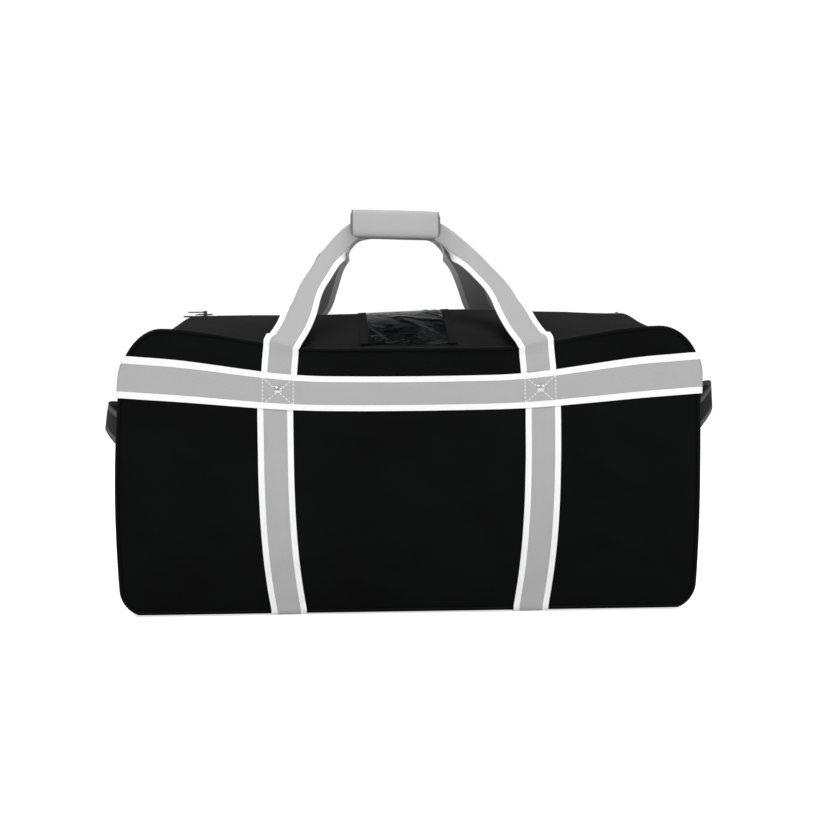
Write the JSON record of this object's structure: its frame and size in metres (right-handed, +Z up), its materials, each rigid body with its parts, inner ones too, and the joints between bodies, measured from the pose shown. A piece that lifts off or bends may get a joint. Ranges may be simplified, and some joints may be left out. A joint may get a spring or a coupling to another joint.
{
  "type": "hockey equipment bag",
  "caption": "Large rectangular kit bag with a centre zip, a clear card window, webbing straps all round, two carry handles with a wrap grip and end handles.",
  "frame": {"origin": "on the floor at the middle of the bag's foot", "axes": "+X along the bag's length, +Y from its front panel to its rear panel, +Z up"},
  "size_m": [0.9172, 0.4626, 0.5817],
  "materials": {
    "body_cloth": "coated woven polyester, matt with a faint weave",
    "base_board": "matt polyethylene sheet",
    "piping": "black piping, slightly shiny",
    "edged_webbing": "grey ribbed webbing with white edges",
    "rivet": "bright domed head",
    "grip_cloth": "plain grey webbing cloth with a dark bound edge",
    "hook_and_loop": "grey hook and loop tape",
    "dark_webbing": "black webbing with dark grey edge lines",
    "zip_tape": "black knitted tape",
    "zip_teeth": "black moulded teeth",
    "zip_metal": "gunmetal finish",
    "clear_window": "clear soft vinyl, crumpled",
    "binding": "black folded binding tape"
  },
  "bodies": {
    "bag": {"front_panel": "body_cloth", "rear_panel": "body_cloth", "left_end_panel": "body_cloth", "right_end_panel": "body_cloth", "base_panel": "body_cloth", "base_board": "base_board", "top_left_yoke": "body_cloth", "top_right_yoke": "body_cloth", "front_piping": "piping", "rear_piping": "piping", "belt_front": "edged_webbing", "belt_rear": "edged_webbing", "belt_left": "edged_webbing", "belt_right": "edged_webbing", "front_strap_left": "edged_webbing", "front_strap_right": "edged_webbing", "rear_strap_left": "edged_webbing", "rear_strap_right": "edged_webbing", "base_strap_left": "edged_webbing", "base_strap_right": "edged_webbing", "front_rivets": "rivet", "rear_rivets": "rivet", "left_end_handle": "dark_webbing", "right_end_handle": "dark_webbing", "left_handle_base": "dark_webbing", "right_handle_base": "dark_webbing", "zip_end_left": "zip_tape", "zip_end_right": "zip_tape", "zip_stops": "zip_metal"},
    "front_flap": {"front_flap": "body_cloth", "zip_tape_front": "zip_tape", "zip_chain_front": "zip_teeth", "id_window": "clear_window", "window_binding_left": "binding", "window_binding_right": "binding"},
    "rear_flap": {"rear_flap": "body_cloth", "zip_tape_rear": "zip_tape", "zip_chain_rear": "zip_teeth"},
    "front_handle": {"front_handle": "edged_webbing", "grip_wrap": "grip_cloth", "loop_strip": "hook_and_loop"},
    "wrap_flap": {"wrap_flap": "grip_cloth", "hook_strip": "hook_and_loop"},
    "rear_handle": {"rear_handle": "edged_webbing"},
    "zip_slider": {"zip_slider": "zip_metal"},
    "zip_pull": {"zip_pull": "zip_metal"}
  },
  "joints": [
    {"name": "front_flap_open", "type": "hinge", "parent": "bag", "child": "front_flap", "pos_m": [0, -0.213, 0.3895], "axis": [1, 0, 0], "range_deg": [0, 100]},
    {"name": "rear_flap_open", "type": "hinge", "parent": "bag", "child": "rear_flap", "pos_m": [0, 0.213, 0.3895], "axis": [-1, 0, 0], "range_deg": [0, 100]},
    {"name": "front_handle_fold", "type": "hinge", "parent": "bag", "child": "front_handle", "pos_m": [0, -0.2195, 0.3903], "axis": [1, 0, 0], "range_deg": [0, 200]},
    {"name": "rear_handle_fold", "type": "hinge", "parent": "bag", "child": "rear_handle", "pos_m": [0, 0.2195, 0.3903], "axis": [-1, 0, 0], "range_deg": [0, 200]},
    {"name": "wrap_flap_open", "type": "hinge", "parent": "front_handle", "child": "wrap_flap", "pos_m": [0, -0.03779, 0.55919], "axis": [1, 0, 0], "range_deg": [0, 120]},
    {"name": "zip_slide", "type": "slide", "parent": "bag", "child": "zip_slider", "axis": [1, 0, 0], "range_m": [0, 0.63]},
    {"name": "zip_pull_swing", "type": "hinge", "parent": "zip_slider", "child": "zip_pull", "pos_m": [-0.308, 0, 0.435], "axis": [0, 1, 0], "range_deg": [0, 165]}
  ],
  "couplings": [
    {"joint": "front_handle_fold", "follows": "front_flap_open", "ratio": 2},
    {"joint": "rear_handle_fold", "follows": "rear_flap_open", "ratio": 2}
  ]
}
